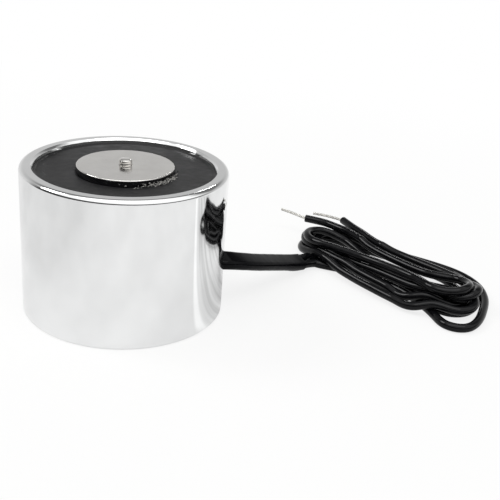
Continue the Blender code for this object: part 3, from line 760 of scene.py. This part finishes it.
def resin_finish():
    """Black casting resin: satin, with flow marks and fine pits."""
    made = Finish("potting_resin", (0.012, 0.012, 0.013), 0.45)
    made.shader.inputs["Specular IOR Level"].default_value = 0.20
    flow = made.noise(3.0 * MM, 5.0)
    made.colour(made.span(flow, 0.0, 1.0), (0.007, 0.007, 0.0075), (0.018, 0.018, 0.0185))
    pits = made.noise(0.22 * MM, 4.0)
    made.roughness(made.span(flow, 0.36, 0.56))
    made.relief(made.bump(flow, 0.10 * MM, made.bump(pits, 0.008 * MM)))
    return made.material


def bead_finish():
    """Resin beads, glossy and bumpy, their black spotted light grey as painted highlights."""
    made = Finish("potting_resin_bead", (0.05, 0.05, 0.05), 0.10)
    skin = made.noise(0.2 * MM, 2.0)
    # Light grey spots in the beads' black are painted highlights
    made.colour(made.span(skin, 0.0, 1.0, 0.42, 0.62), (0.010, 0.010, 0.010), (0.34, 0.33, 0.31))
    made.roughness(made.span(skin, 0.06, 0.16))
    made.relief(made.bump(skin, 0.01 * MM))
    return made.material


def pvc_finish(name, gloss, depth, mirror):
    """Black flexible PVC, smooth and glossy, with faint drag marks and dust."""
    made = Finish(name, (0.004, 0.004, 0.005), gloss)
    made.shader.inputs["Specular IOR Level"].default_value = mirror
    marks = made.noise(0.8 * MM, 3.0)
    made.colour(made.span(marks, 0.0, 1.0), (0.002, 0.002, 0.0025), (0.005, 0.005, 0.006))
    made.roughness(made.span(marks, gloss - 0.04, gloss + 0.05))
    skin = made.noise(1.4 * MM, 2.0)
    made.relief(made.bump(skin, depth))
    return made.material


def tinned_finish():
    made = Finish("tinned_conductor", (0.72, 0.72, 0.70), 0.25, 1.0)
    film = made.noise(0.3 * MM, 3.0)
    made.colour(made.span(film, 0.0, 1.0), (0.36, 0.35, 0.33), (0.66, 0.65, 0.62))
    made.roughness(made.span(film, 0.16, 0.36))
    made.relief(made.bump(film, 0.004 * MM))
    return made.material


def nylon_finish():
    made = Finish("bobbin_nylon", (0.75, 0.73, 0.66), 0.5)
    cloud = made.noise(2.0 * MM, 3.0)
    made.colour(made.span(cloud, 0.0, 1.0), (0.70, 0.68, 0.61), (0.79, 0.77, 0.70))
    made.shader.inputs["Subsurface Weight"].default_value = 0.1
    grain = made.noise(0.1 * MM, 2.0)
    made.roughness(made.span(grain, 0.42, 0.58))
    made.relief(made.bump(grain, 0.003 * MM))
    return made.material


def copper_finish():
    """Enamelled wire, turn beside turn: rounded ridges a wire apart along the axis."""
    made = Finish("enamelled_copper", (0.55, 0.22, 0.09), 0.3, 1.0)
    _, _, z = made.split()
    turns = made.math("ABSOLUTE", made.math("SINE", made.math("MULTIPLY", z, math.pi / MAGNET_WIRE_DIAMETER)))
    shade = made.noise(1.5 * MM, 3.0)
    made.colour(made.span(shade, 0.0, 1.0), (0.47, 0.17, 0.06), (0.62, 0.27, 0.12))
    made.roughness(made.span(shade, 0.24, 0.36))
    made.relief(made.bump(turns, 0.06 * MM))
    return made.material


def tape_finish():
    made = Finish("polyester_tape", (0.80, 0.62, 0.10), 0.35)
    wrinkle = made.noise(1.2 * MM, 3.0, (1.0, 1.0, 0.3))
    made.colour(made.span(wrinkle, 0.0, 1.0), (0.74, 0.55, 0.08), (0.86, 0.68, 0.14))
    made.roughness(made.span(wrinkle, 0.28, 0.42))
    made.relief(made.bump(wrinkle, 0.03 * MM))
    return made.material


def make_camera():
    data = bpy.data.cameras.new("camera")
    data.lens = CAMERA_LENS
    camera = bpy.data.objects.new("camera", data)
    camera.location = CAMERA_PLACE
    camera.rotation_euler = [math.radians(angle) for angle in CAMERA_TURN]
    data.clip_start = 0.005
    data.clip_end = 20.0
    bpy.context.scene.collection.objects.link(camera)
    bpy.context.scene.camera = camera


def make_lamp(name, place, target, size, power, roll):
    data = bpy.data.lights.new(name, "AREA")
    data.shape = "RECTANGLE"
    data.size, data.size_y = size
    data.energy = power
    lamp = bpy.data.objects.new(name, data)
    lamp.location = place
    lamp.rotation_euler = (Vector(target) - Vector(place)).to_track_quat("-Z", "Y").to_euler()
    lamp.rotation_euler.rotate_axis("Z", math.radians(roll))
    bpy.context.scene.collection.objects.link(lamp)


def sky_level(sky, height, levels):
    """A grey that follows the height of a direction, from pairs of height and level."""
    ramp = sky.add("ShaderNodeValToRGB")
    stops = ramp.color_ramp.elements
    stops[0].position = levels[0][0]
    stops[1].position = levels[-1][0]
    for position, _ in levels[1:-1]:
        stops.new(position)
    for stop, (_, level) in zip(stops, levels):
        stop.color = (level, level, level, 1.0)
    sky.link(height, ramp.inputs["Fac"])
    return ramp.outputs["Color"]


def make_light():
    """Three lamps, and a world that is white to the camera and a studio to mirrors."""
    for lamp in LAMPS:
        make_lamp(*lamp)

    world = bpy.data.worlds.new("studio")
    bpy.context.scene.world = world
    world.use_nodes = True
    world.node_tree.nodes.clear()
    sky = Tree(world.node_tree, "Generated")
    slope = sky.add("ShaderNodeVectorMath")
    slope.operation = "DOT_PRODUCT"
    slope.inputs[1].default_value = SKY_TILT
    sky.link(sky.place, slope.inputs[0])
    height = slope.outputs["Value"]
    behind = sky.span(sky.split()["Y"], 0.0, 1.0, BACK_SKY_FROM, BACK_SKY_FULL)
    studio = sky.blend(behind, sky_level(sky, height, FRONT_SKY), sky_level(sky, height, BACK_SKY))
    seen = sky.shader_of("ShaderNodeBackground", WHITE)
    mirrored = sky.shader_of("ShaderNodeBackground", studio)
    ambient = sky.shader_of("ShaderNodeBackground", AMBIENT)
    output = sky.add("ShaderNodeOutputWorld")
    sky.link(sky.by_ray(seen, mirrored, ambient), output.inputs["Surface"])


def floor_in_mirrors(sweep):
    """The whiteness of the sweep as polished metal mirrors it: cloudy, with a painted highlight strip, painted
    shade beside the leads, and painted shade on the left.
    """
    def ramp(value, ends, low=0.0, high=1.0):
        return sweep.span(value, low, high, *ends, "SMOOTHSTEP")

    x, y, _ = sweep.split()
    cloud = sweep.noise(CLOUD_SIZE, 2.0)
    streaks = sweep.noise(STREAK_SIZE, 2.0, STREAK_STRETCH)
    # Painted highlight: a bright strip that only mirrors show
    from_highlight_strip = sweep.math("ABSOLUTE", sweep.math("SUBTRACT", y, HIGHLIGHT_STRIP_Y))
    highlight_strip = sweep.math("MULTIPLY", ramp(from_highlight_strip, HIGHLIGHT_STRIP_WIDTH, 1.0, 0.0), HIGHLIGHT_STRIP_LIFT)
    beside = sweep.math("MULTIPLY", ramp(y, SHADE_FRONT_Y), ramp(y, SHADE_BACK_Y, 1.0, 0.0))
    shade = sweep.math("MULTIPLY", beside, ramp(streaks, STREAK_RANGE, 0.0, STREAK_DEPTH))
    # Cloudy whiteness, with painted shade on the left
    level = sweep.math("ADD", ramp(cloud, CLOUD_RANGE, *CLOUD_LEVELS), ramp(x, LEFT_SHADE_X, LEFT_SHADE, 0.0))
    local = sweep.math("MULTIPLY", ramp(x, RIGHT_X), sweep.math("SUBTRACT", highlight_strip, shade))
    return sweep.math("ADD", level, local)


def make_floor():
    """A white sweep: it takes the object's soft shadow near it, and is plain white further out."""
    bpy.ops.mesh.primitive_plane_add(size=SWEEP_SIZE)
    floor = bpy.context.object
    floor.name = "floor"
    material = bpy.data.materials.new("white_sweep")
    material.use_nodes = True
    material.node_tree.nodes.clear()
    sweep = Tree(material.node_tree)
    reach = sweep.add("ShaderNodeVectorMath")
    reach.operation = "LENGTH"
    sweep.link(sweep.place, reach.inputs[0])
    far = sweep.span(reach.outputs["Value"], SWEEP_GLOW_NEAR, 1.0, SWEEP_NEAR, SWEEP_FAR, "SMOOTHSTEP")
    lit = sweep.shader_of("ShaderNodeBsdfDiffuse", SWEEP_COLOUR)
    seen = sweep.either(far, lit, sweep.shader_of("ShaderNodeEmission", WHITE))
    whiteness = floor_in_mirrors(sweep)
    mirrored = sweep.either(MIRRORED_GLOW_SHARE, sweep.shader_of("ShaderNodeBsdfDiffuse", whiteness),
                            sweep.shader_of("ShaderNodeEmission", whiteness, MIRRORED_GLOW))
    output = sweep.add("ShaderNodeOutputMaterial")
    sweep.link(sweep.by_ray(seen, mirrored, lit), output.inputs["Surface"])
    floor.data.materials.append(material)


def pair_section(angle, radius, flatness):
    """A point of an oval round the pair of leads: across the pair, and square to it."""
    side = max(-1.0, min(1.0, flatness * math.cos(angle)))
    return side * LEAD_OFFSET + radius * math.cos(angle), radius * math.sin(angle)


def make_sleeve(material):
    """The flattened shrink tube over both leads, drawn in a little between them, with shrink marks."""
    line = evenly(sleeve_line(), SLEEVE_SPACING)
    inner_radius = LEAD_RADIUS + SLEEVE_CLEARANCE
    waist_depth, waist_width = SLEEVE_WAIST
    rings_out = []
    rings_in = []
    for step, (point, way) in enumerate(zip(line, directions(line))):
        middle = Vector(point * MM)
        across, upright = (Vector(unit) for unit in pair_frame(way))
        swell = SWELL_HEIGHT * math.exp(-((len(line) - SWELL_PLACE - step) / SWELL_WIDTH) ** 2)
        outside = []
        inside = []
        for spot in range(SLEEVE_SIDES):
            angle = 2 * math.pi * spot / SLEEVE_SIDES
            x, y = pair_section(angle, inner_radius, SLEEVE_FLATNESS)
            inside.append(middle + across * x + upright * y)
            x, y = pair_section(angle, inner_radius + SLEEVE_WALL, SLEEVE_FLATNESS)
            place = middle + across * x + upright * y
            mark = sum(strength * noise.noise(place / size) for strength, size in SHRINK_MARKS) * SHRINK_MARK_DEPTH
            waist = math.copysign(waist_depth, y) * math.exp(-(x / waist_width) ** 2)
            drop = waist + swell * max(0.0, -math.sin(angle))
            outside.append(place + across * math.cos(angle) * mark + upright * (math.sin(angle) * mark - drop))
        rings_out.append(outside)
        rings_in.append(inside)
    return mesh_from_rings("lead_sleeve_shrink", rings_out + rings_in[::-1], material)


def make_strands(name, route, material):
    """Seven fine tinned strands along the route, six of them twisted round the last."""
    line = evenly(catmull(route, ROUTE_SPACING), FINE_SPACING)
    ways = directions(line)
    around = STRAND_COUNT - 1
    paths = []
    for strand in range(STRAND_COUNT):
        spread = 0.0 if strand == around else TWIST_RADIUS
        path = []
        for step, (place, way) in enumerate(zip(line, ways)):
            left = np.cross((0.0, 0.0, 1.0), way)
            left /= np.linalg.norm(left)
            up = np.cross(way, left)
            angle = 2 * math.pi * (strand / around + step * FINE_SPACING * MM / TWIST_PITCH)
            path.append(place * MM + spread * (math.cos(angle) * left + math.sin(angle) * up))
        paths.append(path)
    return curve_piece(name, paths, FINE_STRAND_RADIUS, material, sides=3)


def make_cords(pvc, sleeve_black, tin):
    path_a, path_b = lead_paths()
    lead_a = curve_piece("lead_a_cord", [path_a * MM], LEAD_RADIUS, pvc)
    lead_b = curve_piece("lead_b_cord", [path_b * MM], LEAD_RADIUS, pvc)
    ridden(lead_a, "black_pvc", "lead_a", "lead_hank", "lead_a_end")
    ridden(lead_b, "black_pvc", "lead_b", "lead_hank", "lead_b_end")
    sleeve = ridden(make_sleeve(sleeve_black), "black_sleeve", "lead_sleeve")
    strands_a = make_strands("tinned_strands_a", CONDUCTOR_A_ROUTE, tin)
    ridden(strands_a, "tinned_conductor", "conductor_a")
    strands_b = make_strands("tinned_strands_b", CONDUCTOR_B_ROUTE, tin)
    ridden(strands_b, "tinned_conductor", "conductor_b")


def rim_shift(radius, height, angle):
    """The inner chamfer's slightly uneven width, as the turning tool and the plating left it."""
    inside = abs(radius - BORE_RADIUS - RIM_INNER_CHAMFER / 2) < RIM_INNER_CHAMFER
    if not inside or height < CUP_HEIGHT - 2 * RIM_INNER_CHAMFER:
        return radius, height
    spot = Vector((math.cos(angle), math.sin(angle), 0.0))
    wave = sum(tall * noise.noise(spot * often) for tall, often in RIM_WAVES)
    drop = (CUP_HEIGHT - height) / RIM_INNER_CHAMFER
    return radius, height + wave * min(1.0, drop)


def make_cup(chrome):
    top = CUP_HEIGHT
    chamfer = RIM_INNER_CHAMFER
    flat = CUP_RADIUS - RIM_ROUNDING
    corner = (BORE_RADIUS - BORE_CORNER_RADIUS, CUP_FLOOR + BORE_CORNER_RADIUS)
    profile = [(BORE_RADIUS, top - chamfer - 2 * EDGE_STEP), (BORE_RADIUS + EDGE_STEP, top - chamfer),
               (BORE_RADIUS + chamfer - EDGE_STEP, top - RIM_EDGE_DROP), (BORE_RADIUS + chamfer + EDGE_STEP, top),
               (flat - EDGE_STEP, top)]
    profile += arc((flat, top - RIM_ROUNDING), RIM_ROUNDING, 90, 0, 12)
    profile += [(CUP_RADIUS, top - RIM_ROUNDING - EDGE_RUN), (CUP_RADIUS, BASE_CHAMFER + EDGE_RUN)]
    profile += arc((CUP_RADIUS - BASE_CHAMFER, BASE_CHAMFER), BASE_CHAMFER, 0, -90, 5)
    profile += [(SPIGOT_RADIUS + SPIGOT_FIT, 0.0), (SPIGOT_RADIUS + SPIGOT_FIT, CUP_FLOOR)]
    profile += arc(corner, BORE_CORNER_RADIUS, -90, 0, 4)
    cup = turned("cup_plated", profile, CUP_STEPS, chrome, shift=rim_shift)
    bpy.ops.mesh.primitive_cylinder_add(vertices=HOLE_SIDES, radius=HOLE_RADIUS, depth=2 * CUP_WALL)
    drill = bpy.context.object
    drill.matrix_world = hole_matrix(CUP_RADIUS - CUP_WALL / 2)
    cut_away(cup, drill)
    return ridden(cup, "chrome_plate", "cup")


def thread_shift(radius, depth, pitch, low, high):
    """Moves points that lie on a cylinder between two heights into a V thread, inwards if depth is above zero."""
    def shift(at, height, angle):
        if abs(at - radius) > 1e-7 or not low < height < high:
            return at, height
        turn = (height / pitch - angle / (2 * math.pi)) % 1.0
        ridge = 1 - abs(2 * turn - 1)
        fade = min(1.0, (height - low) / pitch, (high - height) / pitch)
        return at - depth * ridge * fade, height
    return shift


def heights(start, end, step):
    count = max(1, round(abs(end - start) / step))
    return [start + (end - start) * index / count for index in range(count + 1)]


def make_core(steel):
    top = CUP_HEIGHT
    seat = PIN_RADIUS + PIN_FIT
    hole = HOLE_THREAD_RADIUS
    low, high = HOLE_COUNTERSINK, HOLE_THREAD_DEPTH
    flat = POLE_RADIUS - POLE_CHAMFER
    landing = CUP_FLOOR + SEAT_GAP
    profile = [(0.0, top - PIN_SEAT_DEPTH), (seat, top - PIN_SEAT_DEPTH)]
    profile += [(seat, top - EDGE_STEP), (seat + EDGE_STEP, top), (flat - EDGE_STEP / 2, top)]
    profile += arc((flat, top - POLE_CHAMFER), POLE_CHAMFER, 90, 0, 5)
    profile += [(POLE_RADIUS, top - POLE_CHAMFER - EDGE_STEP), (POLE_RADIUS, landing)]
    profile += [(SPIGOT_RADIUS, landing), (SPIGOT_RADIUS, SPIGOT_CHAMFER)]
    profile += [(SPIGOT_RADIUS - SPIGOT_CHAMFER, 0.0), (hole + HOLE_COUNTERSINK, 0.0)]
    profile += [(hole, height) for height in heights(low, high, HOLE_THREAD_PITCH / HOLE_THREAD_DIVISIONS)]
    profile += [(0.0, HOLE_THREAD_DEPTH + hole * DRILL_POINT)]
    shift = thread_shift(hole, -HOLE_THREAD_CUT, HOLE_THREAD_PITCH, low, high)
    core = turned("pole_core_ground", profile, CORE_STEPS, steel, closed=False, shift=shift)
    return ridden(core, "nickel_plate", "pole_core")


def make_pin(steel):
    bottom = CUP_HEIGHT - PIN_SEAT_DEPTH + SEAT_GAP
    low, high = CUP_HEIGHT - PIN_THREAD_START, PIN_TOP - PIN_CHAMFER
    profile = [(0.0, PIN_TOP), (PIN_RADIUS - 2 * PIN_CHAMFER, PIN_TOP)]
    profile += [(PIN_RADIUS - PIN_CHAMFER, PIN_TOP - 0.25 * PIN_CHAMFER)]
    profile += [(PIN_RADIUS, height) for height in heights(high, low, PIN_PITCH / PIN_THREAD_DIVISIONS)]
    profile += [(PIN_RADIUS, bottom), (0.0, bottom)]
    shift = thread_shift(PIN_RADIUS, PIN_THREAD_DEPTH, PIN_PITCH, low, high)
    pin = turned("centre_pin_threaded", profile, PIN_STEPS, steel, closed=False, shift=shift)
    return ridden(pin, "nickel_plate", "centre_pin")


def resin_shift(radius, height, angle):
    """Waves of the cast surface, and the lumps where it was poured beside the pole."""
    if height < CUP_HEIGHT - RESIN_RECESS - RESIN_WAVE_REACH:
        return radius, height
    spot = Vector((radius * math.cos(angle), radius * math.sin(angle), 0.0))
    wave = sum(tall * noise.noise(spot / long) for tall, long in RESIN_WAVES)
    beside_pole = math.exp(-((radius - POLE_RADIUS) / LUMP_WIDTH) ** 2)
    away = (math.degrees(angle) - POUR_AZIMUTH + 180.0) % 360.0 - 180.0
    poured = math.exp(-(away / POUR_SPREAD) ** 2)
    lumps = max(0.0, 0.5 + noise.noise(spot / LUMP_WIDTH))
    return radius, height + wave + LUMP_HEIGHT * beside_pole * poured * lumps


def make_resin(black):
    level = CUP_HEIGHT - RESIN_RECESS
    inner, outer = POLE_RADIUS + RESIN_GAP, BORE_RADIUS - RESIN_GAP
    profile = []
    for step in range(RESIN_PROFILE_STEPS + 1):
        share = step / RESIN_PROFILE_STEPS
        radius = inner + (outer - inner) * share
        at_wall = max(0.0, 1 - (outer - radius) / MENISCUS_WIDTH)
        at_pole = max(0.0, 1 - (radius - inner) / MENISCUS_WIDTH)
        profile.append((radius, level + MENISCUS_RISE * at_wall ** 2 - POLE_SINK * at_pole ** 2))
    under = level - RESIN_CAP
    profile += [(outer, under), (inner, under)]
    cap = turned("potting_resin_cap", profile, CUP_STEPS, black, shift=resin_shift)
    return ridden(cap, "potting_resin", "potting_resin")


def make_beads(black):
    """Small beads of resin that cling beside the pole, where it was poured."""
    chance = np.random.default_rng(BEAD_SEED)
    level = CUP_HEIGHT - RESIN_RECESS
    shape = bmesh.new()
    for _ in range(BEAD_COUNT):
        angle = math.radians(chance.normal(*BEAD_AZIMUTHS))
        size = chance.uniform(*BEAD_SIZES) * MM
        reach = POLE_RADIUS + size + chance.uniform(*BEAD_GAPS) * MM
        climb = max(0.0, 1.0 - (reach - POLE_RADIUS) / BEAD_CLIMB_WIDTH) * BEAD_CLIMB
        place = Vector((reach * math.cos(angle), reach * math.sin(angle), level + climb * chance.uniform(0.5, 1.0)))
        wide, deep, tall = chance.uniform(0.8, 1.3), chance.uniform(0.8, 1.3), chance.uniform(0.7, 1.0)
        matrix = Matrix.Translation(place) @ Matrix.Diagonal((wide, deep, tall, 1.0))
        bmesh.ops.create_icosphere(shape, subdivisions=2, radius=size, matrix=matrix)
    mesh = bpy.data.meshes.new("potting_resin_beads")
    shape.to_mesh(mesh)
    shape.free()
    mesh.materials.append(black)
    mesh.shade_smooth()
    return ridden(add_object("potting_resin_beads", mesh), "potting_resin", "potting_resin")


def make_plug(black):
    """The resin in the lead hole, round the sleeve and slightly dished."""
    matrix = hole_matrix(0.0)
    outer_end = CUP_RADIUS - PLUG_RECESS
    inner_end = BORE_RADIUS - PLUG_REACH
    wide = HOLE_RADIUS - PLUG_HOLE_FIT
    sleeve_radius = LEAD_RADIUS + SLEEVE_CLEARANCE + SLEEVE_WALL + PLUG_SLEEVE_FIT
    layout = [(1.0, inner_end), (1.0, outer_end - PLUG_EDGE)]
    layout += [(1.0 - share, outer_end + PLUG_DISH * share ** 2) for share in (0.0, 0.25, 0.5, 0.75, 1.0)]
    layout += [(0.0, inner_end)]
    rings = []
    for share, reach in layout:
        ring = []
        for spot in range(PLUG_SIDES):
            angle = 2 * math.pi * spot / PLUG_SIDES
            hole_edge = Vector((wide * math.cos(angle), wide * math.sin(angle), 0.0))
            tube_edge = Vector((*pair_section(angle, sleeve_radius, PLUG_FLATNESS), 0.0))
            place = tube_edge.lerp(hole_edge, share)
            place.z = reach
            ring.append(matrix @ place)
        rings.append(ring)
    plug = mesh_from_rings("potting_resin_plug", rings, black)
    return ridden(plug, "potting_resin", "potting_resin")


def dress_inner_nodes(finishes):
    """The pieces inside the cup keep their CAD solids and get a finish of their own."""
    slots = {row["node"]: row["material_slot"] for row in frame["record"]["subparts"]}
    for name, node in frame["nodes"].items():
        if not node.hide_render:
            node.data.materials.clear()
            node.data.materials.append(finishes[slots[name]])


make_camera()
pvc = pvc_finish("black_pvc", 0.08, 0.003 * MM, 0.18)
sleeve_black = pvc_finish("black_sleeve", 0.08, 0.006 * MM, 0.07)
tin = tinned_finish()
make_cords(pvc, sleeve_black, tin)
chrome = chrome_finish()
steel = ground_finish()
resin = resin_finish()
make_cup(chrome)
make_core(steel)
make_pin(steel)
make_resin(resin)
make_beads(bead_finish())
make_plug(resin)
dress_inner_nodes({
    "chrome_plate": chrome,
    "nickel_plate": steel,
    "potting_resin": resin,
    "black_pvc": pvc,
    "black_sleeve": sleeve_black,
    "tinned_conductor": tin,
    "bobbin_nylon": nylon_finish(),
    "enamelled_copper": copper_finish(),
    "polyester_tape": tape_finish(),
})
make_light()
make_floor()
bpy.context.scene.view_settings.view_transform = "Standard"
